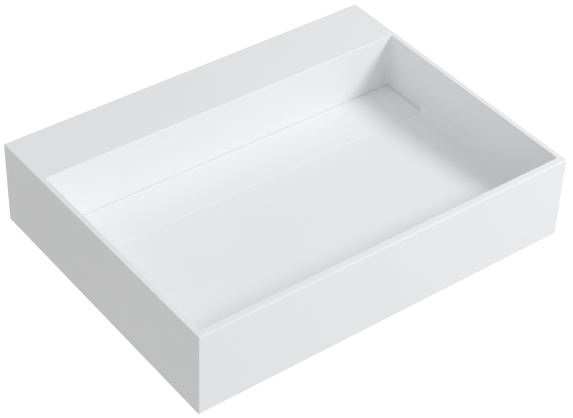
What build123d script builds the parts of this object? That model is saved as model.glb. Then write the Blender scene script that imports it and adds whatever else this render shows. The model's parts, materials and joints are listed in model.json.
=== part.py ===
from build123d import *
import os

# Wall-hung basin with a flat rear deck and a full-width cover plate over a hidden drain channel.
# Millimetres. X runs along the wall, Y points into the wall, and Z is up.
# The origin lies on the wall plane, midway between the two wall fixings.

# Basin body
BASIN_WIDTH = 600.0
BASIN_DEPTH = 455.0
BASIN_HEIGHT = 130.0
DECK_DEPTH = 94.5  # from the wall to the bowl's back face
DECK_THICKNESS = 12.0
SIDE_WALL = 9.0
FRONT_WALL = 11.0
BACK_PANEL = 14.0
BOWL_BACK_WALL = 10.0
FLOOR_THICKNESS = 11.0
FLOOR_RISE = 12.0  # how much higher the bowl floor lies at the front than at the cover plate
COVE_RADIUS = 10.0  # between the bowl floor and its walls
CORNER_RADIUS = 3.0  # upright inner corners
OUTER_EDGE = 1.5
RIM_CHAMFER = 0.7  # round the bowl
FOOT_CHAMFER = 1.0  # round the apron's lower edge
UNDERSIDE_FILLET = 4.0  # upright corners of the hollows
UNDERSIDE_CHAMFER = 3.0  # where the hollows' walls meet their roofs

# Cover plate and the pads that it stands on
PLATE_THICKNESS = 10.0
PLATE_FRONT_GAP = 0.6
PLATE_REAR_GAP = 0.5
PLATE_END_GAP = 0.6
PLATE_CORNER = 3.0
PLATE_FRONT_EDGE = 1.0  # the plate's other upper edges are left sharp
PAD_SIZE = 7.0
PAD_THICKNESS = 1.5
PAD_INSET = 5.5  # from the plate's ends and rear edge to the pad centres
MIDDLE_PAD_SPACING = 190.0

# Drain channel under the plate
CHANNEL_OPENING = 80.0  # front to back, where the plate lies
CHANNEL_DEPTH = 26.0  # from the plate's top face down to the lowest floor
CHANNEL_FALL = 6.0  # from each end down to the middle
CHANNEL_WALL = 12.0
CHANNEL_FLOOR_THICKNESS = 11.0  # at the middle, where the waste is clamped
CHANNEL_CLEARANCE = 5.0  # from the apron's foot up to the channel's underside
CHANNEL_FILLET = 5.0
FRONT_LEDGE = 9.0
END_LEDGE = 12.0

# Waste
DRAIN_HOLE_RADIUS = 23.0
FLANGE_RADIUS = 31.0
FLANGE_THICKNESS = 2.5
FLANGE_SINK = 0.5  # below the channel floor, so that the water leaves
FLANGE_GAP = 1.5  # round the flange in its recess
DISH_RADIUS = 26.0
DISH_DEPTH = 1.6
TAIL_RADIUS = 20.955  # G 1 1/4 pipe thread, major diameter 41.91
TAIL_BORE_RADIUS = 17.0
TAIL_REACH = 48.0  # below the channel
TAIL_GROOVE_GAP = 2.0  # from the backnut down to the groove that parts its thread from the trap's
TAIL_GROOVE_WIDTH = 2.5
TAIL_GROOVE_DEPTH = 1.2
CROSSBAR_WIDTH = 3.0
CROSSBAR_HEIGHT = 5.0
CROSSBAR_DROP = 20.0  # from the flange's top face down to the crossbars
SEAL_THICKNESS = 1.5
SEAL_BORE_GAP = 0.5
GASKET_RADIUS = 30.0
GASKET_THICKNESS = 4.0
SLIP_WASHER_RADIUS = 28.5
SLIP_WASHER_THICKNESS = 1.5
RING_GAP = 0.25  # round the tail inside the gasket and the slip washer
BACKNUT_FLATS = 52.0
BACKNUT_THICKNESS = 10.0
THREAD_GAP = 0.1

# Strainer that lifts out of the waste
STRAINER_SHEET = 1.0
STRAINER_RADIUS = 19.0
STRAINER_SEAT_GAP = 0.3
STRAINER_SLOTS = 10
STRAINER_SLOT_WIDTH = 2.6
STRAINER_SLOT_START = 5.5  # from the middle
STRAINER_SLOT_END = 15.5
KNOB_STEM_RADIUS = 2.0
KNOB_RADIUS = 5.5
KNOB_HEIGHT = 4.0
KNOB_LIFT = 1.0  # from the flange's top face up to the knob's underside
KNOB_RIVET_RADIUS = 3.5
KNOB_RIVET_HEIGHT = 1.0
KNOB_STEM_GAP = 0.05

# Wall fixings
FIXING_DROP = 65.0  # from the rim down to the fixings
FIXING_SPACING = 280.0
FIXING_HOLE_RADIUS = 8.0
FIXING_BOSS_WIDTH = 62.0
FIXING_BOSS_THICKNESS = 8.0
FIXING_BOSS_BELOW = 28.0  # how far the boss runs below the fixing
SCREW_RADIUS = 5.1  # over the crests of the thread that bites in the wall
SCREW_REACH = 55.0  # from the wall plane to the tip
SCREW_TIP_LENGTH = 6.0
SHANK_RADIUS = 4.4  # the plain length between the two threads
SHANK_REACH = 3.0  # from the wall plane into the wall
THREAD_START = 20.0  # from the wall plane out to the machine thread
THREAD_RADIUS = 4.9  # M10, over the crests
BOLT_PAST_NUT = 6.0
BOLT_DRIVE_FLATS = 6.0
BOLT_DRIVE_LENGTH = 5.0
BUSH_FIT = 0.2  # round the bush in the basin's hole
BUSH_BORE_GAP = 0.15
BUSH_SLEEVE_LENGTH = 18.0
BUSH_COLLAR_RADIUS = 13.0
BUSH_COLLAR_THICKNESS = 3.0
WASHER_RADIUS = 12.0
WASHER_BORE_GAP = 0.3
WASHER_THICKNESS = 2.0
NUT_FLATS = 17.0
NUT_THICKNESS = 8.0

# Levels
rim_z = FIXING_DROP
base_z = rim_z - BASIN_HEIGHT
deck_under_z = rim_z - DECK_THICKNESS
channel_under_z = base_z + CHANNEL_CLEARANCE
channel_floor_z = channel_under_z + CHANNEL_FLOOR_THICKNESS
channel_end_z = channel_floor_z + CHANNEL_FALL
plate_top_z = channel_floor_z + CHANNEL_DEPTH
plate_under_z = plate_top_z - PLATE_THICKNESS
ledge_z = plate_under_z - PAD_THICKNESS
front_floor_z = plate_top_z + FLOOR_RISE
flange_top_z = channel_floor_z - FLANGE_SINK
flange_under_z = flange_top_z - FLANGE_THICKNESS
seat_z = flange_under_z - SEAL_THICKNESS
gasket_under_z = channel_under_z - GASKET_THICKNESS
washer_under_z = gasket_under_z - SLIP_WASHER_THICKNESS
nut_under_z = washer_under_z - BACKNUT_THICKNESS
groove_top_z = nut_under_z - TAIL_GROOVE_GAP
groove_under_z = groove_top_z - TAIL_GROOVE_WIDTH
tail_end_z = channel_under_z - TAIL_REACH

# Places across the basin, from the wall towards the front
bowl_half_width = BASIN_WIDTH / 2 - SIDE_WALL
bowl_back_y = -DECK_DEPTH
bowl_front_y = -BASIN_DEPTH + FRONT_WALL
opening_front_y = bowl_back_y - CHANNEL_OPENING
channel_front_y = opening_front_y + FRONT_LEDGE
channel_outside_y = channel_front_y - CHANNEL_WALL
channel_half_length = bowl_half_width - END_LEDGE
drain_y = (bowl_back_y + channel_front_y) / 2
seat_radius = FLANGE_RADIUS + FLANGE_GAP
clear_above_rim = 5.0  # how far each cut runs past the face that it opens

# The bowl in front of the cover plate is what three outlines have in common
bowl_length = opening_front_y - bowl_front_y
bowl_height = rim_z - plate_top_z
fall_plane = Plane(
    origin=(0, opening_front_y, plate_top_z),
    x_dir=(1, 0, 0),
    z_dir=(0, -bowl_length, FLOOR_RISE),
)

with BuildPart() as bowl_space:
    # From the side: a floor that falls to the plate, and the cove at the front wall
    with BuildSketch(Plane.YZ.offset(-bowl_half_width)) as side_outline:
        with BuildLine():
            Polyline(
                (opening_front_y, rim_z + clear_above_rim),
                (opening_front_y, plate_top_z),
                (bowl_front_y, front_floor_z),
                (bowl_front_y, rim_z + clear_above_rim),
                close=True,
            )
        make_face()
        front_corners = side_outline.vertices().group_by(Axis.X)[0]
        fillet(front_corners.sort_by(Axis.Y)[0], COVE_RADIUS)
    extrude(amount=2 * bowl_half_width)
    # Along the floor's fall: the coves at both side walls
    with BuildSketch(fall_plane) as end_outline:
        Rectangle(2 * bowl_half_width, 2 * bowl_height, align=(Align.CENTER, Align.MIN))
        fillet(end_outline.vertices().group_by(Axis.Y)[0], COVE_RADIUS)
    extrude(amount=bowl_length + bowl_height, mode=Mode.INTERSECT)
    # From above: the upright corners at the front wall
    with BuildSketch(Plane.XY.offset(plate_top_z)) as plan_outline:
        with Locations((0, opening_front_y)):
            Rectangle(2 * bowl_half_width, bowl_length, align=(Align.CENTER, Align.MAX))
        fillet(plan_outline.vertices().group_by(Axis.Y)[0], CORNER_RADIUS)
    extrude(amount=bowl_height + clear_above_rim, mode=Mode.INTERSECT)

# The opening that the cover plate lies in, down to its ledges
with BuildPart() as plate_space:
    with BuildSketch(Plane.XY.offset(ledge_z)):
        with Locations((0, bowl_back_y)):
            Rectangle(2 * bowl_half_width, CHANNEL_OPENING, align=(Align.CENTER, Align.MAX))
    extrude(amount=rim_z + clear_above_rim - ledge_z)
    fillet(plate_space.edges().filter_by(Axis.Z).group_by(Axis.Y)[-1], CORNER_RADIUS)

# The drain channel, which falls from both ends to the waste
with BuildPart() as channel_space:
    with BuildSketch(Plane.XZ.offset(-bowl_back_y)):
        with BuildLine():
            Polyline(
                (-channel_half_length, ledge_z),
                (-channel_half_length, channel_end_z),
                (-seat_radius, channel_floor_z),
                (seat_radius, channel_floor_z),
                (channel_half_length, channel_end_z),
                (channel_half_length, ledge_z),
                close=True,
            )
        make_face()
    extrude(amount=bowl_back_y - channel_front_y)
    fillet(channel_space.edges().filter_by(Axis.Z), CHANNEL_FILLET)

# The hollow under the deck, where the wall fixings are reached from below
with BuildPart() as deck_space:
    with BuildSketch(Plane.XY.offset(base_z - clear_above_rim)):
        with Locations((0, -BACK_PANEL)):
            Rectangle(
                2 * bowl_half_width,
                DECK_DEPTH - BACK_PANEL - BOWL_BACK_WALL,
                align=(Align.CENTER, Align.MAX),
            )
    extrude(amount=deck_under_z - base_z + clear_above_rim)
    fillet(deck_space.edges().filter_by(Axis.Z), UNDERSIDE_FILLET)
    chamfer(deck_space.faces().sort_by(Axis.Z)[-1].edges(), UNDERSIDE_CHAMFER)

# The hollow under the bowl floor, with a roof that follows the floor
with BuildPart() as underside_space:
    with BuildSketch(Plane.YZ.offset(-bowl_half_width)):
        with BuildLine():
            Polyline(
                (channel_outside_y, base_z - clear_above_rim),
                (channel_outside_y, plate_top_z - FLOOR_THICKNESS),
                (bowl_front_y, front_floor_z - FLOOR_THICKNESS),
                (bowl_front_y, base_z - clear_above_rim),
                close=True,
            )
        make_face()
    extrude(amount=2 * bowl_half_width)
    fillet(underside_space.edges().filter_by(Axis.Z), UNDERSIDE_FILLET)
    chamfer(underside_space.faces().sort_by(Axis.Z)[-1].edges(), UNDERSIDE_CHAMFER)

# The shallow recess that leaves the apron standing proud round the whole underside
with BuildPart() as foot_space:
    with BuildSketch(Plane.XY.offset(base_z - clear_above_rim)):
        with Locations((0, -BACK_PANEL)):
            Rectangle(
                2 * bowl_half_width,
                -BACK_PANEL - bowl_front_y,
                align=(Align.CENTER, Align.MAX),
            )
    extrude(amount=CHANNEL_CLEARANCE + clear_above_rim)
    fillet(foot_space.edges().filter_by(Axis.Z), UNDERSIDE_FILLET)

# The wall fixings stand on planes that face out of the wall
fixing_planes = [
    Plane(origin=(x, 0, 0), x_dir=(1, 0, 0), z_dir=(0, -1, 0))
    for x in (-FIXING_SPACING / 2, FIXING_SPACING / 2)
]
boss_height = deck_under_z + FIXING_BOSS_BELOW
boss_middle_z = deck_under_z - boss_height / 2
fixing_seat = BACK_PANEL + FIXING_BOSS_THICKNESS

with BuildPart() as basin_body:
    with BuildSketch(Plane.XY.offset(base_z)):
        with Locations((0, -BASIN_DEPTH / 2)):
            RectangleRounded(BASIN_WIDTH, BASIN_DEPTH, OUTER_EDGE)
    extrude(amount=BASIN_HEIGHT)
    add(bowl_space.part, mode=Mode.SUBTRACT)
    add(plate_space.part, mode=Mode.SUBTRACT)
    add(channel_space.part, mode=Mode.SUBTRACT)
    add(deck_space.part, mode=Mode.SUBTRACT)
    add(underside_space.part, mode=Mode.SUBTRACT)
    add(foot_space.part, mode=Mode.SUBTRACT)
    # Bosses that thicken the back panel round the fixings
    with BuildSketch(*[plane.offset(BACK_PANEL) for plane in fixing_planes]):
        with Locations((0, boss_middle_z)):
            Rectangle(FIXING_BOSS_WIDTH, boss_height)
    extrude(amount=FIXING_BOSS_THICKNESS)
    with BuildSketch(*fixing_planes):
        Circle(FIXING_HOLE_RADIUS)
    extrude(amount=fixing_seat, mode=Mode.SUBTRACT)
    # The waste's recess and its hole
    with BuildSketch(Plane.XY.offset(seat_z)):
        with Locations((0, drain_y)):
            Circle(seat_radius)
    extrude(amount=channel_floor_z - seat_z, mode=Mode.SUBTRACT)
    with BuildSketch(Plane.XY.offset(channel_under_z)):
        with Locations((0, drain_y)):
            Circle(DRAIN_HOLE_RADIUS)
    extrude(amount=seat_z - channel_under_z, mode=Mode.SUBTRACT)
    # Eased edges of the rim and of the apron's foot
    rim_face = basin_body.faces().sort_by(Axis.Z)[-1]
    chamfer(rim_face.inner_wires()[0].edges(), RIM_CHAMFER)
    rim_face = basin_body.faces().sort_by(Axis.Z)[-1]
    fillet(rim_face.outer_wire().edges(), OUTER_EDGE)
    foot_face = basin_body.faces().sort_by(Axis.Z)[0]
    chamfer(foot_face.outer_wire().edges(), FOOT_CHAMFER)

# Cover plate
plate_half_length = bowl_half_width - PLATE_END_GAP
plate_rear_y = bowl_back_y - PLATE_REAR_GAP
plate_front_y = opening_front_y + PLATE_FRONT_GAP
front_pad_y = (plate_front_y + channel_front_y) / 2
rear_pad_y = plate_rear_y - PAD_INSET
end_pad_x = plate_half_length - PAD_INSET
pad_places = [
    (-end_pad_x, rear_pad_y),
    (end_pad_x, rear_pad_y),
    (-end_pad_x, front_pad_y),
    (-MIDDLE_PAD_SPACING / 2, front_pad_y),
    (MIDDLE_PAD_SPACING / 2, front_pad_y),
    (end_pad_x, front_pad_y),
]

with BuildPart() as cover_plate:
    with BuildSketch(Plane.XY.offset(plate_under_z)):
        with Locations((0, (plate_rear_y + plate_front_y) / 2)):
            Rectangle(2 * plate_half_length, plate_rear_y - plate_front_y)
    extrude(amount=PLATE_THICKNESS)
    upper_edges = cover_plate.faces().sort_by(Axis.Z)[-1].edges()
    fillet(upper_edges.sort_by(Axis.Y)[0], PLATE_FRONT_EDGE)
    # Rounded upright corners
    with BuildSketch(Plane.XY.offset(plate_under_z)):
        with Locations((0, (plate_rear_y + plate_front_y) / 2)):
            RectangleRounded(2 * plate_half_length, plate_rear_y - plate_front_y, PLATE_CORNER)
    extrude(amount=PLATE_THICKNESS, mode=Mode.INTERSECT)

with BuildPart() as plate_pads:
    with BuildSketch(Plane.XY.offset(ledge_z)):
        with Locations(*pad_places):
            Rectangle(PAD_SIZE, PAD_SIZE)
    extrude(amount=PAD_THICKNESS)

# Waste: a flanged body with a threaded tail, clamped through the channel floor by its backnut
waste_axis = Plane(origin=(0, drain_y, 0), x_dir=(1, 0, 0), z_dir=(0, -1, 0))
dish_floor_z = flange_top_z - DISH_DEPTH
strainer_seat_radius = STRAINER_RADIUS + STRAINER_SEAT_GAP

with BuildPart() as waste_body:
    with BuildSketch(waste_axis):
        with BuildLine():
            Polyline(
                (FLANGE_RADIUS, flange_under_z),
                (FLANGE_RADIUS, flange_top_z),
                (DISH_RADIUS, flange_top_z),
                (strainer_seat_radius, dish_floor_z),
                (TAIL_BORE_RADIUS, dish_floor_z),
                (TAIL_BORE_RADIUS, tail_end_z),
                (TAIL_RADIUS, tail_end_z),
                (TAIL_RADIUS, groove_under_z),
                (TAIL_RADIUS - TAIL_GROOVE_DEPTH, groove_under_z),
                (TAIL_RADIUS - TAIL_GROOVE_DEPTH, groove_top_z),
                (TAIL_RADIUS, groove_top_z),
                (TAIL_RADIUS, flange_under_z),
                close=True,
            )
        make_face()
    revolve(axis=Axis((0, drain_y, 0), (0, 0, 1)))
    # Crossbars in the bore
    with BuildSketch(Plane.XY.offset(flange_top_z - CROSSBAR_DROP)):
        with Locations((0, drain_y)):
            Rectangle(2 * TAIL_BORE_RADIUS, CROSSBAR_WIDTH)
            Rectangle(CROSSBAR_WIDTH, 2 * TAIL_BORE_RADIUS)
    extrude(amount=-CROSSBAR_HEIGHT)

with BuildPart() as waste_seal:
    with BuildSketch(Plane.XY.offset(seat_z)):
        with Locations((0, drain_y)):
            Circle(FLANGE_RADIUS)
            Circle(DRAIN_HOLE_RADIUS + SEAL_BORE_GAP, mode=Mode.SUBTRACT)
    extrude(amount=SEAL_THICKNESS)

ring_bore_radius = TAIL_RADIUS + RING_GAP

with BuildPart() as waste_gasket:
    with BuildSketch(Plane.XY.offset(gasket_under_z)):
        with Locations((0, drain_y)):
            Circle(GASKET_RADIUS)
            Circle(ring_bore_radius, mode=Mode.SUBTRACT)
    extrude(amount=GASKET_THICKNESS)

with BuildPart() as waste_washer:
    with BuildSketch(Plane.XY.offset(washer_under_z)):
        with Locations((0, drain_y)):
            Circle(SLIP_WASHER_RADIUS)
            Circle(ring_bore_radius, mode=Mode.SUBTRACT)
    extrude(amount=SLIP_WASHER_THICKNESS)

with BuildPart() as waste_backnut:
    with BuildSketch(Plane.XY.offset(nut_under_z)):
        with Locations((0, drain_y)):
            RegularPolygon(BACKNUT_FLATS / 2, 6, major_radius=False)
            Circle(TAIL_RADIUS + THREAD_GAP, mode=Mode.SUBTRACT)
    extrude(amount=BACKNUT_THICKNESS)

# Strainer: a slotted disc and the knob riveted through its middle
slot_middle = (STRAINER_SLOT_START + STRAINER_SLOT_END) / 2
slot_length = STRAINER_SLOT_END - STRAINER_SLOT_START

with BuildPart() as strainer_disc:
    with BuildSketch(Plane.XY.offset(dish_floor_z)):
        with Locations((0, drain_y)):
            Circle(STRAINER_RADIUS)
            Circle(KNOB_STEM_RADIUS + KNOB_STEM_GAP, mode=Mode.SUBTRACT)
            with PolarLocations(slot_middle, STRAINER_SLOTS):
                Rectangle(slot_length, STRAINER_SLOT_WIDTH, mode=Mode.SUBTRACT)
    extrude(amount=STRAINER_SHEET)

knob_under_z = flange_top_z + KNOB_LIFT

with BuildPart() as strainer_knob:
    with BuildSketch(waste_axis):
        with BuildLine():
            Polyline(
                (0, dish_floor_z - KNOB_RIVET_HEIGHT),
                (KNOB_RIVET_RADIUS, dish_floor_z - KNOB_RIVET_HEIGHT),
                (KNOB_RIVET_RADIUS, dish_floor_z),
                (KNOB_STEM_RADIUS, dish_floor_z),
                (KNOB_STEM_RADIUS, knob_under_z),
                (KNOB_RADIUS, knob_under_z),
                (KNOB_RADIUS, knob_under_z + KNOB_HEIGHT),
                (0, knob_under_z + KNOB_HEIGHT),
                close=True,
            )
        make_face()
    revolve(axis=Axis((0, drain_y, 0), (0, 0, 1)))

# Wall fixings: hanger bolts, shouldered bushes, washers and nuts
collar_face = fixing_seat + BUSH_COLLAR_THICKNESS
washer_face = collar_face + WASHER_THICKNESS
nut_face = washer_face + NUT_THICKNESS
bolt_end = nut_face + BOLT_PAST_NUT
bush_bore_radius = THREAD_RADIUS + BUSH_BORE_GAP

with BuildPart() as hanger_bolts:
    for plane in fixing_planes:
        with BuildSketch(Plane(origin=plane.origin, x_dir=(1, 0, 0), z_dir=(0, 0, 1))):
            with BuildLine():
                Polyline(
                    (0, SCREW_REACH),
                    (SCREW_RADIUS, SCREW_REACH - SCREW_TIP_LENGTH),
                    (SCREW_RADIUS, SHANK_REACH),
                    (SHANK_RADIUS, SHANK_REACH),
                    (SHANK_RADIUS, -THREAD_START),
                    (THREAD_RADIUS, -THREAD_START),
                    (THREAD_RADIUS, -bolt_end),
                    (0, -bolt_end),
                    close=True,
                )
            make_face()
        revolve(axis=Axis(plane.origin, (0, 1, 0)))
    with BuildSketch(*[plane.offset(bolt_end) for plane in fixing_planes]):
        RegularPolygon(BOLT_DRIVE_FLATS / 2, 6, major_radius=False)
    extrude(amount=BOLT_DRIVE_LENGTH)

with BuildPart() as fixing_bushes:
    with BuildSketch(*[plane.offset(fixing_seat) for plane in fixing_planes]):
        Circle(BUSH_COLLAR_RADIUS)
        Circle(bush_bore_radius, mode=Mode.SUBTRACT)
    extrude(amount=BUSH_COLLAR_THICKNESS)
    with BuildSketch(*[plane.offset(fixing_seat - BUSH_SLEEVE_LENGTH) for plane in fixing_planes]):
        Circle(FIXING_HOLE_RADIUS - BUSH_FIT)
        Circle(bush_bore_radius, mode=Mode.SUBTRACT)
    extrude(amount=BUSH_SLEEVE_LENGTH)

with BuildPart() as fixing_washers:
    with BuildSketch(*[plane.offset(collar_face) for plane in fixing_planes]):
        Circle(WASHER_RADIUS)
        Circle(THREAD_RADIUS + WASHER_BORE_GAP, mode=Mode.SUBTRACT)
    extrude(amount=WASHER_THICKNESS)

with BuildPart() as fixing_nuts:
    with BuildSketch(*[plane.offset(washer_face) for plane in fixing_planes]):
        RegularPolygon(NUT_FLATS / 2, 6, major_radius=False)
        Circle(THREAD_RADIUS + THREAD_GAP, mode=Mode.SUBTRACT)
    extrude(amount=NUT_THICKNESS)

pieces = {
    "basin_body": basin_body,
    "cover_plate": cover_plate,
    "plate_pads": plate_pads,
    "waste_body": waste_body,
    "waste_seal": waste_seal,
    "waste_gasket": waste_gasket,
    "waste_washer": waste_washer,
    "waste_backnut": waste_backnut,
    "strainer_disc": strainer_disc,
    "strainer_knob": strainer_knob,
    "hanger_bolts": hanger_bolts,
    "fixing_bushes": fixing_bushes,
    "fixing_washers": fixing_washers,
    "fixing_nuts": fixing_nuts,
}

os.makedirs("parts", exist_ok=True)
for name, piece in pieces.items():
    piece.part.label = name
    export_step(piece.part, f"parts/{name}.step")
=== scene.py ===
import json
import math

import bmesh
import bpy
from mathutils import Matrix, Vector


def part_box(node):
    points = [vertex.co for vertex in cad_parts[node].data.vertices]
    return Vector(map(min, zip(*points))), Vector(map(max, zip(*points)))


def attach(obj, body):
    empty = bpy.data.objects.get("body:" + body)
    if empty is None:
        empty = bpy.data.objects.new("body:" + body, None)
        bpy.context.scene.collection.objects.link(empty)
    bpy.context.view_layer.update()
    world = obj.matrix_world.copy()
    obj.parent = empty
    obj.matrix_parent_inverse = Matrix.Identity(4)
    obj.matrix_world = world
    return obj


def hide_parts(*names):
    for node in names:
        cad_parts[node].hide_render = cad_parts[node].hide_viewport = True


# Wall-hung basin: looks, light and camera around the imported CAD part. Metres, in the part's own frame.

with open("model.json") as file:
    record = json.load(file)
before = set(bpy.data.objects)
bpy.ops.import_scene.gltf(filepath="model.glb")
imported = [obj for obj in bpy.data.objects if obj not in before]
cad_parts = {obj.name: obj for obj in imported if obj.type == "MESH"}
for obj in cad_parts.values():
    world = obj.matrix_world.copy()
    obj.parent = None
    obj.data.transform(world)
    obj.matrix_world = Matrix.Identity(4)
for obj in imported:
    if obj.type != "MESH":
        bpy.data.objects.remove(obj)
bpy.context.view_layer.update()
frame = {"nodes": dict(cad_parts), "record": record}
NODES = frame["nodes"]

# Places that the detailed pieces take from the frame
waste_low, waste_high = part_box("waste_body")
backnut_low, backnut_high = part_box("waste_backnut")
disc_low, disc_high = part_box("strainer_disc")
knob_low, knob_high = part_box("strainer_knob")
bolts_low, bolts_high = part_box("hanger_bolts")
nuts_low, nuts_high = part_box("fixing_nuts")
DRAIN_Y = (waste_low[1] + waste_high[1]) / 2
FLANGE_TOP = waste_high[2]
FLANGE_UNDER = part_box("waste_seal")[1][2]
GASKET_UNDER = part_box("waste_gasket")[0][2]
FLANGE_RADIUS = (waste_high[0] - waste_low[0]) / 2
TAIL_END = waste_low[2]
SCREW_TIP = bolts_high[1]
BOLT_END = bolts_low[1]
FIXING_Z = (bolts_low[2] + bolts_high[2]) / 2

# Pipe thread G 1 1/4 on the waste's tail, and the bore inside it
TAIL_RADIUS = 0.020955
TAIL_BORE = 0.017
PIPE_PITCH = 0.002309
PIPE_DEPTH = 0.001479
GROOVE_GAP = 0.002
GROOVE_WIDTH = 0.0025
GROOVE_DEPTH = 0.0012
GROOVE_CORNER = 0.0003
TAIL_CHAMFER = 0.001
THREAD_TOP_GAP = 0.0005  # from the gasket down to where the thread ends
CROSSBAR_DROP = 0.020
CROSSBAR_HEIGHT = 0.005
CROSSBAR_WIDTH = 0.003
CROSSBAR_ROOT = 0.0005  # how far the bars run into the bore's wall
EDGE_BREAK = 0.0004

# Dish in the flange, and the strainer that lies in it
DISH_RADIUS = 0.026
DISH_DEPTH = 0.0016
DISH_EASE = 0.0001
DISH_FOOT = 0.0006
ROLLED_EDGE = 0.0009  # on the flange and on top of the knob
DISC_SEAT_GAP = 0.0003
DISC_EDGE = 0.00012
SLOTS = 10
SLOT_WIDTH = 0.0026
SLOT_START = 0.0055
SLOT_END = 0.0155
STEM_RADIUS = 0.002
STEM_GAP = 0.00005
RIVET_RADIUS = 0.0035
KNOB_LIFT = 0.001
KNURL_COUNT = 36
KNURL_DEPTH = 0.00022
KNURL_START = 0.0006  # from the knob's underside up to its flutes
KNOB_LIP = 0.0003
KNOB_NECK = 0.0002  # between the flutes and the rolled edge
KNOB_HOLLOW_RADIUS = 0.0028
KNOB_HOLLOW_FLOOR_RADIUS = 0.0024
KNOB_HOLLOW_SIDE = 0.0003
KNOB_HOLLOW_DEPTH = 0.0005

# Hanger bolts: a coarse screw thread, a plain shank and an M10 thread
SCREW_RADIUS = 0.0051
SCREW_PITCH = 0.0045
SCREW_DEPTH = 0.0013
SCREW_TIP_LENGTH = 0.006
SHANK_RADIUS = 0.0044
SHANK_REACH = 0.003
MACHINE_START = -0.020
MACHINE_RADIUS = 0.0049
MACHINE_PITCH = 0.0015
MACHINE_DEPTH = 0.0009
DRIVE_FLATS = 0.006
DRIVE_LENGTH = 0.005
FIXING_X = bolts_high[0] - SCREW_RADIUS

# Nuts
NUT_FLATS = nuts_high[2] - nuts_low[2]
BACKNUT_FLATS = backnut_high[1] - backnut_low[1]
CONE_SLOPE = 0.577  # the corners are turned off at 30 degrees
CORNER_EASE = 0.012  # how far the turned face lies inside the flats, as a share of their width
THREAD_GAP = 0.0001
NUT_COUNTERSINK = 0.0005
BACKNUT_COUNTERSINK = 0.0006

# Fineness of the detailed meshes
WASTE_SEGMENTS = 96
BACKNUT_SEGMENTS = 144
DISC_SEGMENTS = 96
STEM_SEGMENTS = 32
SLOT_END_STEPS = 8
BOLT_SEGMENTS = 48
NUT_SEGMENTS = 96
SHARP_ANGLE_DEG = 28

# The span of a noise's values that most of a surface has
NOISE_LOW = 0.3
NOISE_HIGH = 0.7

# Camera, solved from the basin's own straight edges in the photograph
CAMERA_PLACE = (-1.19157, -1.73707, 1.56494)
CAMERA_ANGLES_DEG = (50.2321, -1.7931, -36.9007)
CAMERA_LENS_MM = 114.762
CAMERA_SENSOR_MM = 36.0

# Light and floor
KEY_DIRECTION = (0.78, -0.97, 1.0)  # from the basin towards the key light
KEY_TARGET = (0.23, -0.15, 0.0)  # where the right wall's shadow falls
KEY_DISTANCE = 3.5
KEY_SIZE = 1.15
KEY_POWER = 58.5
KEY_COLOUR = (0.97, 0.99, 1.03)
AMBIENT = (0.572, 0.572, 0.573)
FLOOR_Z = -0.85
FLOOR_HALF = 8.0
FLOOR_TONE = 0.82
FLOOR_TONE_SEEN = 1.5  # bright enough that the lit floor is white, and its shadow still shows


# Node helpers
def new_material(name, colour, roughness, metallic=0.0):
    """A node material with a Principled shader."""
    mat = bpy.data.materials.new(name)
    mat.use_nodes = True
    shader = mat.node_tree.nodes["Principled BSDF"]
    shader.inputs["Base Color"].default_value = (*colour, 1.0)
    shader.inputs["Roughness"].default_value = roughness
    shader.inputs["Metallic"].default_value = metallic
    return mat, mat.node_tree, shader


def object_noise(tree, scale, detail=2.0, stretch=(1.0, 1.0, 1.0)):
    """Noise in object space, so that it stays with a piece when the piece moves."""
    place = tree.nodes.new("ShaderNodeTexCoord")
    shape = tree.nodes.new("ShaderNodeMapping")
    shape.inputs["Scale"].default_value = stretch
    noise = tree.nodes.new("ShaderNodeTexNoise")
    noise.inputs["Scale"].default_value = scale
    noise.inputs["Detail"].default_value = detail
    tree.links.new(place.outputs["Object"], shape.inputs["Vector"])
    tree.links.new(shape.outputs["Vector"], noise.inputs["Vector"])
    return noise.outputs["Fac"]


def ranged(tree, fac, low, high):
    """The noise's useful middle spread over low to high."""
    node = tree.nodes.new("ShaderNodeMapRange")
    node.inputs["From Min"].default_value = NOISE_LOW
    node.inputs["From Max"].default_value = NOISE_HIGH
    node.inputs["To Min"].default_value = low
    node.inputs["To Max"].default_value = high
    tree.links.new(fac, node.inputs["Value"])
    return node.outputs["Result"]


def coloured(tree, shader, fac, first, second):
    """Gives the shader a colour that runs from first to second with the noise."""
    ramp = tree.nodes.new("ShaderNodeValToRGB")
    ramp.color_ramp.elements[0].position = NOISE_LOW
    ramp.color_ramp.elements[0].color = (*first, 1.0)
    ramp.color_ramp.elements[1].position = NOISE_HIGH
    ramp.color_ramp.elements[1].color = (*second, 1.0)
    tree.links.new(fac, ramp.inputs["Fac"])
    tree.links.new(ramp.outputs["Color"], shader.inputs["Base Color"])


def bumped(tree, fac, strength, distance):
    """A normal that follows the noise as a height."""
    node = tree.nodes.new("ShaderNodeBump")
    node.inputs["Strength"].default_value = strength
    node.inputs["Distance"].default_value = distance
    tree.links.new(fac, node.inputs["Height"])
    return node.outputs["Normal"]


# Materials, one for each slot of the record
def solid_surface():
    """Matt white cast mineral and resin: nearly even, with a fine silky grain."""
    mat, tree, shader = new_material("solid_surface", (0.91, 0.915, 0.92), 0.5)
    cloud = object_noise(tree, 9.0, 3.0)
    coloured(tree, shader, cloud, (0.911, 0.915, 0.92), (0.925, 0.929, 0.934))
    tree.links.new(ranged(tree, object_noise(tree, 35.0, 4.0), 0.46, 0.54), shader.inputs["Roughness"])
    tree.links.new(bumped(tree, object_noise(tree, 1400.0), 0.12, 0.00005), shader.inputs["Normal"])
    return mat


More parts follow.
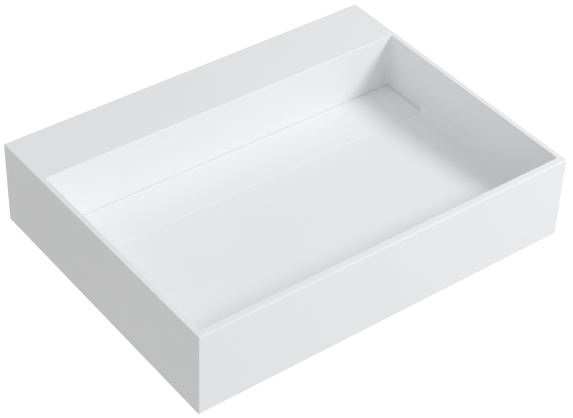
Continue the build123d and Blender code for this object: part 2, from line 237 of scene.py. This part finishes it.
def chrome_plate():
    """Polished plate with the faint waviness of a turned and plated part."""
    mat, tree, shader = new_material("chrome_plate", (0.78, 0.78, 0.8), 0.08, 1.0)
    smear = object_noise(tree, 60.0, 3.0)
    tree.links.new(ranged(tree, smear, 0.05, 0.13), shader.inputs["Roughness"])
    coloured(tree, shader, smear, (0.74, 0.745, 0.76), (0.8, 0.8, 0.815))
    tree.links.new(bumped(tree, object_noise(tree, 250.0), 0.03, 0.0002), shader.inputs["Normal"])
    return mat


def strainer_steel():
    """Stainless sheet, brushed one way."""
    mat, tree, shader = new_material("strainer_steel", (0.62, 0.62, 0.63), 0.3, 1.0)
    brush = object_noise(tree, 300.0, 3.0, (0.05, 1.0, 1.0))
    tree.links.new(ranged(tree, brush, 0.22, 0.38), shader.inputs["Roughness"])
    coloured(tree, shader, brush, (0.56, 0.56, 0.565), (0.66, 0.66, 0.67))
    tree.links.new(bumped(tree, brush, 0.08, 0.0002), shader.inputs["Normal"])
    return mat


def brass():
    """Machined brass that has dulled a little."""
    mat, tree, shader = new_material("brass", (0.72, 0.52, 0.24), 0.32, 1.0)
    tarnish = object_noise(tree, 90.0, 5.0)
    tree.links.new(ranged(tree, tarnish, 0.25, 0.42), shader.inputs["Roughness"])
    coloured(tree, shader, tarnish, (0.6, 0.42, 0.18), (0.76, 0.57, 0.28))
    tree.links.new(bumped(tree, object_noise(tree, 700.0), 0.1, 0.0002), shader.inputs["Normal"])
    return mat


def zinc_steel():
    """Steel with a bright zinc coat and its cloudy spangle."""
    mat, tree, shader = new_material("zinc_steel", (0.58, 0.59, 0.61), 0.34, 1.0)
    spangle = object_noise(tree, 420.0)
    tree.links.new(ranged(tree, spangle, 0.26, 0.46), shader.inputs["Roughness"])
    coloured(tree, shader, spangle, (0.5, 0.51, 0.54), (0.64, 0.65, 0.66))
    tree.links.new(bumped(tree, object_noise(tree, 900.0), 0.12, 0.0002), shader.inputs["Normal"])
    return mat


def rubber():
    """Black moulded rubber with a dusty bloom."""
    mat, tree, shader = new_material("rubber", (0.03, 0.03, 0.03), 0.7)
    bloom = object_noise(tree, 160.0, 4.0)
    tree.links.new(ranged(tree, bloom, 0.6, 0.85), shader.inputs["Roughness"])
    coloured(tree, shader, bloom, (0.022, 0.022, 0.023), (0.05, 0.05, 0.05))
    tree.links.new(bumped(tree, object_noise(tree, 1500.0), 0.2, 0.0002), shader.inputs["Normal"])
    return mat


def pad_rubber():
    """Milky soft silicone."""
    mat, tree, shader = new_material("pad_rubber", (0.72, 0.72, 0.71), 0.42)
    milk = object_noise(tree, 320.0, 3.0)
    tree.links.new(ranged(tree, milk, 0.36, 0.5), shader.inputs["Roughness"])
    coloured(tree, shader, milk, (0.68, 0.68, 0.67), (0.76, 0.76, 0.75))
    return mat


def nylon():
    """Natural moulded nylon."""
    mat, tree, shader = new_material("nylon", (0.74, 0.73, 0.68), 0.45)
    flow = object_noise(tree, 130.0, 3.0)
    tree.links.new(ranged(tree, flow, 0.38, 0.52), shader.inputs["Roughness"])
    coloured(tree, shader, flow, (0.71, 0.7, 0.65), (0.78, 0.77, 0.73))
    tree.links.new(bumped(tree, object_noise(tree, 1100.0), 0.1, 0.0002), shader.inputs["Normal"])
    return mat


MATERIALS = {
    "solid_surface": solid_surface(),
    "chrome_plate": chrome_plate(),
    "strainer_steel": strainer_steel(),
    "brass": brass(),
    "zinc_steel": zinc_steel(),
    "rubber": rubber(),
    "pad_rubber": pad_rubber(),
    "nylon": nylon(),
}

# Every CAD node takes the look of its slot in the record
for part in frame["record"]["subparts"]:
    mesh = NODES[part["node"]].data
    mesh.materials.clear()
    mesh.materials.append(MATERIALS[part["material_slot"]])


# Mesh helpers. A station is (radius, along), where the radius may be a function of the angle.
def hexagon(flats, cone):
    """The outside of a hexagon whose corners are cut to a cone's radius."""
    def radius(angle):
        side = angle % (math.pi / 3) - math.pi / 6
        return min(flats / 2 / math.cos(side), cone)
    return radius


def hexagon_stations(flats, low, high):
    """The outside of a nut from one face to the other, with both sets of corners turned off."""
    corner = flats / math.sqrt(3)
    face = flats / 2 - CORNER_EASE * flats
    steps = [face + (corner - face) * i / 4 for i in range(5)]
    rise = [(cone, (cone - face) * CONE_SLOPE) for cone in steps]
    stations = [(hexagon(flats, cone), low + height) for cone, height in rise]
    return stations + [(hexagon(flats, cone), high - height) for cone, height in reversed(rise)]


def knurled(radius):
    """The outside of a knob with fine flutes."""
    return lambda angle: radius - KNURL_DEPTH * (0.5 + 0.5 * math.cos(KNURL_COUNT * angle))


def thread_stations(start, end, crest, pitch, depth, crest_share=0.12, steps=12):
    """Stations of a helical thread that runs out at both ends. crest_share is the flat on the crest."""
    count = max(2, round(abs(end - start) / pitch * steps))

    def station(along):
        runout = min(1.0, min(abs(along - start), abs(along - end)) / (0.5 * pitch))

        def radius(angle):
            phase = (along / pitch - angle / math.tau) % 1.0
            fall = abs(2.0 * phase - 1.0)
            share = min(1.0, max(0.0, (fall - crest_share) / (0.85 - crest_share)))
            return crest - depth * share * runout
        return radius, along
    return [station(start + (end - start) * i / count) for i in range(count + 1)]


def arc_stations(radius, along, size, start_deg, end_deg, steps=4):
    """A rounded edge: a stretch of a circle of the given size about (radius, along)."""
    angles = [math.radians(start_deg + (end_deg - start_deg) * i / steps) for i in range(steps + 1)]
    return [(radius + size * math.cos(a), along + size * math.sin(a)) for a in angles]


def turned(bm, stations, place, segments):
    """Adds a closed turned solid. place turns (radius, angle, along) into a point."""
    loops = []
    for radius, along in stations:
        if radius == 0.0:
            loops.append([bm.verts.new(place(0.0, 0.0, along))])
            continue
        angles = [math.tau * k / segments for k in range(segments)]
        radii = [radius(a) if callable(radius) else radius for a in angles]
        loops.append([bm.verts.new(place(r, a, along)) for r, a in zip(radii, angles)])
    for near, far in zip(loops, loops[1:] + loops[:1]):
        if len(near) == 1 and len(far) == 1:
            continue
        for k in range(segments):
            n = (k + 1) % segments
            if len(near) == 1:
                bm.faces.new((near[0], far[n], far[k]))
            elif len(far) == 1:
                bm.faces.new((near[k], near[n], far[0]))
            else:
                bm.faces.new((near[k], near[n], far[n], far[k]))


def box(bm, low, high):
    """Adds a plain box, such as one bar of a grating."""
    extent = [b - a for a, b in zip(low, high)]
    middle = [(a + b) / 2 for a, b in zip(low, high)]
    made = bmesh.ops.create_cube(bm, size=1.0)["verts"]
    bmesh.ops.scale(bm, vec=extent, verts=made)
    bmesh.ops.translate(bm, vec=middle, verts=made)


def add_piece(name, mesh, slot, node, body):
    """Makes a mesh into the piece that stands for a CAD node."""
    mesh.name = name
    for polygon in mesh.polygons:
        polygon.use_smooth = True
    mesh.set_sharp_from_angle(angle=math.radians(SHARP_ANGLE_DEG))
    mesh.materials.clear()
    mesh.materials.append(MATERIALS[slot])
    obj = bpy.data.objects.new(name, mesh)
    bpy.context.scene.collection.objects.link(obj)
    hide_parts(node)
    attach(obj, body)


def finished(bm):
    """The mesh of a bmesh, with its faces turned outwards."""
    bmesh.ops.recalc_face_normals(bm, faces=bm.faces)
    mesh = bpy.data.meshes.new("mesh")
    bm.to_mesh(mesh)
    bm.free()
    return mesh


def about_drain(radius, angle, along):
    return Vector((radius * math.cos(angle), DRAIN_Y + radius * math.sin(angle), along))


def about_fixing(x):
    """Places points about the fixing at x. Along runs with Y, into the wall."""
    def place(radius, angle, along):
        return Vector((x + radius * math.cos(angle), along, FIXING_Z + radius * math.sin(angle)))
    return place


# Waste: a flange with a rolled edge, a dished seat, crossbars and a threaded tail
def waste_mesh():
    bm = bmesh.new()
    groove_top = backnut_low[2] - GROOVE_GAP
    groove_under = groove_top - GROOVE_WIDTH
    seat_radius = (disc_high[0] - disc_low[0]) / 2 + DISC_SEAT_GAP
    dish_floor = FLANGE_TOP - DISH_DEPTH
    thread_start = TAIL_END + TAIL_CHAMFER
    thread_top = GASKET_UNDER - THREAD_TOP_GAP
    neck = TAIL_RADIUS - EDGE_BREAK
    stations = [(FLANGE_RADIUS, FLANGE_UNDER)]
    stations += arc_stations(FLANGE_RADIUS - ROLLED_EDGE, FLANGE_TOP - ROLLED_EDGE, ROLLED_EDGE, 0, 90)
    stations += [
        (DISH_RADIUS + EDGE_BREAK, FLANGE_TOP),
        (DISH_RADIUS, FLANGE_TOP - DISH_EASE),
        (seat_radius + DISH_FOOT, dish_floor + DISH_EASE),
        (seat_radius, dish_floor),
        (TAIL_BORE + EDGE_BREAK, dish_floor),
        (TAIL_BORE, dish_floor - EDGE_BREAK),
        (TAIL_BORE, TAIL_END + EDGE_BREAK),
        (TAIL_BORE + EDGE_BREAK, TAIL_END),
        (TAIL_RADIUS - TAIL_CHAMFER, TAIL_END),
    ]
    stations += thread_stations(thread_start, groove_under, TAIL_RADIUS, PIPE_PITCH, PIPE_DEPTH)
    stations += [
        (TAIL_RADIUS - GROOVE_DEPTH, groove_under + GROOVE_CORNER),
        (TAIL_RADIUS - GROOVE_DEPTH, groove_top - GROOVE_CORNER),
    ]
    stations += thread_stations(groove_top, thread_top, TAIL_RADIUS, PIPE_PITCH, PIPE_DEPTH)
    stations += [(neck, thread_top + EDGE_BREAK), (neck, FLANGE_UNDER)]
    turned(bm, stations, about_drain, WASTE_SEGMENTS)
    top = FLANGE_TOP - CROSSBAR_DROP
    reach, half = TAIL_BORE + CROSSBAR_ROOT, CROSSBAR_WIDTH / 2
    box(bm, (-reach, DRAIN_Y - half, top - CROSSBAR_HEIGHT), (reach, DRAIN_Y + half, top))
    box(bm, (-half, DRAIN_Y - reach, top - CROSSBAR_HEIGHT), (half, DRAIN_Y + reach, top))
    return finished(bm)


# Backnut: a hexagon with its corners turned off and a countersunk bore
def backnut_mesh():
    bm = bmesh.new()
    low, high = backnut_low[2], backnut_high[2]
    bore = TAIL_RADIUS + THREAD_GAP
    mouth = bore + BACKNUT_COUNTERSINK
    stations = [(mouth, low)]
    stations += hexagon_stations(BACKNUT_FLATS, low, high)
    stations += [(mouth, high), (bore, high - BACKNUT_COUNTERSINK), (bore, low + BACKNUT_COUNTERSINK)]
    turned(bm, stations, about_drain, BACKNUT_SEGMENTS)
    return finished(bm)


# Strainer disc: round-ended slots punched through a sheet with softened edges
def slot_points(turn):
    """One slot's outline as a closed loop about the disc's middle."""
    half = SLOT_WIDTH / 2
    start, end = SLOT_START + half, SLOT_END - half
    points = arc_stations(end, 0.0, half, -90, 90, SLOT_END_STEPS)
    points += arc_stations(start, 0.0, half, 90, 270, SLOT_END_STEPS)
    cos, sin = math.cos(turn), math.sin(turn)
    return [(u * cos - v * sin, u * sin + v * cos) for u, v in points]


def circle_points(radius, count):
    """A circle's outline as a closed loop."""
    angles = [math.tau * k / count for k in range(count)]
    return [(radius * math.cos(a), radius * math.sin(a)) for a in angles]


def disc_mesh():
    half = (disc_high[2] - disc_low[2]) / 2
    curve = bpy.data.curves.new("disc_outline", "CURVE")
    curve.dimensions = "2D"
    curve.fill_mode = "BOTH"
    curve.extrude = half - DISC_EDGE
    curve.bevel_depth = DISC_EDGE
    curve.bevel_resolution = 2
    curve.offset = -DISC_EDGE
    outlines = [circle_points((disc_high[0] - disc_low[0]) / 2, DISC_SEGMENTS)]
    outlines += [circle_points(STEM_RADIUS + STEM_GAP, STEM_SEGMENTS)]
    outlines += [slot_points(math.tau * k / SLOTS) for k in range(SLOTS)]
    for outline in outlines:
        spline = curve.splines.new("POLY")
        spline.points.add(len(outline) - 1)
        for point, (x, y) in zip(spline.points, outline):
            point.co = (x, y, 0.0, 1.0)
        spline.use_cyclic_u = True
    shape = bpy.data.objects.new("disc_outline", curve)
    bpy.context.scene.collection.objects.link(shape)
    bpy.context.view_layer.update()
    mesh = bpy.data.meshes.new_from_object(shape)
    bpy.data.objects.remove(shape)
    for vertex in mesh.vertices:
        vertex.co += Vector((0.0, DRAIN_Y, disc_low[2] + half))
    return mesh


# Knob: a domed rivet head under the disc, a stem, and a fluted grip with a hollow top
def knob_mesh():
    bm = bmesh.new()
    knob_radius = (knob_high[0] - knob_low[0]) / 2
    under = FLANGE_TOP + KNOB_LIFT
    top = knob_high[2]
    disc_under = disc_low[2]
    dome = disc_under - knob_low[2]
    shoulder = top - ROLLED_EDGE
    inner_radius = knob_radius - ROLLED_EDGE
    stations = [(0.0, knob_low[2])]
    stations += [
        (RIVET_RADIUS * math.sin(a), disc_under - dome * math.cos(a))
        for a in [math.radians(15 * i) for i in range(1, 7)]
    ]
    stations += [(STEM_RADIUS, disc_under), (STEM_RADIUS, under), (inner_radius, under)]
    stations += [(knob_radius - KNOB_LIP, under + EDGE_BREAK)]
    stations += [(knurled(knob_radius), under + KNURL_START), (knurled(knob_radius), shoulder - KNOB_NECK)]
    stations += arc_stations(inner_radius - KNOB_NECK, shoulder, ROLLED_EDGE, 0, 90)
    stations += [(KNOB_HOLLOW_RADIUS, top), (KNOB_HOLLOW_FLOOR_RADIUS, top - KNOB_HOLLOW_SIDE)]
    stations += [(0.0, top - KNOB_HOLLOW_DEPTH)]
    turned(bm, stations, about_drain, 6 * KNURL_COUNT)
    return finished(bm)


# Hanger bolts: screw thread into the wall, plain shank, machine thread and a hexagon drive
def bolts_mesh():
    bm = bmesh.new()
    drive_start = BOLT_END + DRIVE_LENGTH
    drive = hexagon(DRIVE_FLATS, DRIVE_FLATS)
    root = SCREW_RADIUS - SCREW_DEPTH
    stations = [(0.0, BOLT_END), (hexagon(DRIVE_FLATS, DRIVE_FLATS / 2), BOLT_END)]
    stations += [(drive, BOLT_END + EDGE_BREAK), (drive, drive_start)]
    stations += [(MACHINE_RADIUS - MACHINE_DEPTH, drive_start)]
    thread_start = drive_start + MACHINE_DEPTH
    stations += thread_stations(
        thread_start, MACHINE_START, MACHINE_RADIUS, MACHINE_PITCH, MACHINE_DEPTH, steps=10
    )
    stations += [(SHANK_RADIUS, MACHINE_START), (SHANK_RADIUS, SHANK_REACH)]
    stations += thread_stations(
        SHANK_REACH, SCREW_TIP - SCREW_TIP_LENGTH, SCREW_RADIUS, SCREW_PITCH, SCREW_DEPTH, 0.04, 16
    )
    stations += [(root, SCREW_TIP - SCREW_TIP_LENGTH), (0.0, SCREW_TIP)]
    for x in (-FIXING_X, FIXING_X):
        turned(bm, stations, about_fixing(x), BOLT_SEGMENTS)
    return finished(bm)


# Fixing nuts: hexagons with their corners turned off
def nuts_mesh():
    bm = bmesh.new()
    low, high = nuts_low[1], nuts_high[1]
    bore = MACHINE_RADIUS + THREAD_GAP
    mouth = bore + NUT_COUNTERSINK
    stations = [(mouth, low)]
    stations += hexagon_stations(NUT_FLATS, low, high)
    stations += [(mouth, high), (bore, high - NUT_COUNTERSINK), (bore, low + NUT_COUNTERSINK)]
    for x in (-FIXING_X, FIXING_X):
        turned(bm, stations, about_fixing(x), NUT_SEGMENTS)
    return finished(bm)


add_piece("waste_detail", waste_mesh(), "chrome_plate", "waste_body", "basin")
add_piece("backnut_detail", backnut_mesh(), "brass", "waste_backnut", "basin")
add_piece("disc_detail", disc_mesh(), "strainer_steel", "strainer_disc", "strainer")
add_piece("knob_detail", knob_mesh(), "strainer_steel", "strainer_knob", "strainer")
add_piece("bolts_detail", bolts_mesh(), "zinc_steel", "hanger_bolts", "basin")
add_piece("nuts_detail", nuts_mesh(), "zinc_steel", "fixing_nuts", "basin")


# Floor far below the basin. The camera sees it as white, and its shadow still shows.
def floor_material():
    mat, tree, shader = new_material("floor", (FLOOR_TONE, FLOOR_TONE, FLOOR_TONE), 0.9)
    low, high = 0.985 * FLOOR_TONE, 1.015 * FLOOR_TONE
    cloud = object_noise(tree, 1.5, 3.0)
    coloured(tree, shader, cloud, (low, low, low), (high, high, high))
    seen = tree.nodes.new("ShaderNodeBsdfDiffuse")
    seen.inputs["Color"].default_value = (FLOOR_TONE_SEEN, FLOOR_TONE_SEEN, FLOOR_TONE_SEEN, 1.0)
    path = tree.nodes.new("ShaderNodeLightPath")
    either = tree.nodes.new("ShaderNodeMixShader")
    tree.links.new(path.outputs["Is Camera Ray"], either.inputs["Fac"])
    tree.links.new(shader.outputs["BSDF"], either.inputs[1])
    tree.links.new(seen.outputs["BSDF"], either.inputs[2])
    tree.links.new(either.outputs["Shader"], tree.nodes["Material Output"].inputs["Surface"])
    return mat


floor_mesh = bpy.data.meshes.new("floor")
floor_sides = [(-1, -1), (1, -1), (1, 1), (-1, 1)]
floor_corners = [(x * FLOOR_HALF, y * FLOOR_HALF, FLOOR_Z) for x, y in floor_sides]
floor_mesh.from_pydata(floor_corners, [], [(0, 1, 2, 3)])
floor_mesh.materials.append(floor_material())
floor = bpy.data.objects.new("floor", floor_mesh)
bpy.context.scene.collection.objects.link(floor)

# World: even soft light, and white where the camera sees past the floor
world = bpy.data.worlds.new("studio")
bpy.context.scene.world = world
world.use_nodes = True
world_tree = world.node_tree
ambient = world_tree.nodes["Background"]
ambient.inputs["Color"].default_value = (*AMBIENT, 1.0)
white = world_tree.nodes.new("ShaderNodeBackground")
white.inputs["Color"].default_value = (1.0, 1.0, 1.0, 1.0)
either = world_tree.nodes.new("ShaderNodeMixShader")
path = world_tree.nodes.new("ShaderNodeLightPath")
world_tree.links.new(path.outputs["Is Camera Ray"], either.inputs["Fac"])
world_tree.links.new(ambient.outputs["Background"], either.inputs[1])
world_tree.links.new(white.outputs["Background"], either.inputs[2])
world_tree.links.new(either.outputs["Shader"], world_tree.nodes["World Output"].inputs["Surface"])

# Key light
direction = Vector(KEY_DIRECTION).normalized()
key_data = bpy.data.lights.new("key", "AREA")
key_data.shape = "DISK"
key_data.size = KEY_SIZE
key_data.energy = KEY_POWER
key_data.color = KEY_COLOUR
key = bpy.data.objects.new("key", key_data)
key.location = Vector(KEY_TARGET) + direction * KEY_DISTANCE
key.rotation_euler = direction.to_track_quat("Z", "Y").to_euler()
key.visible_camera = False
bpy.context.scene.collection.objects.link(key)

# Camera
camera_data = bpy.data.cameras.new("camera")
camera_data.lens = CAMERA_LENS_MM
camera_data.sensor_width = CAMERA_SENSOR_MM
camera_data.sensor_fit = "HORIZONTAL"
camera = bpy.data.objects.new("camera", camera_data)
camera.location = CAMERA_PLACE
camera.rotation_euler = [math.radians(angle) for angle in CAMERA_ANGLES_DEG]
bpy.context.scene.collection.objects.link(camera)
bpy.context.scene.camera = camera
bpy.context.scene.view_settings.view_transform = "Standard"
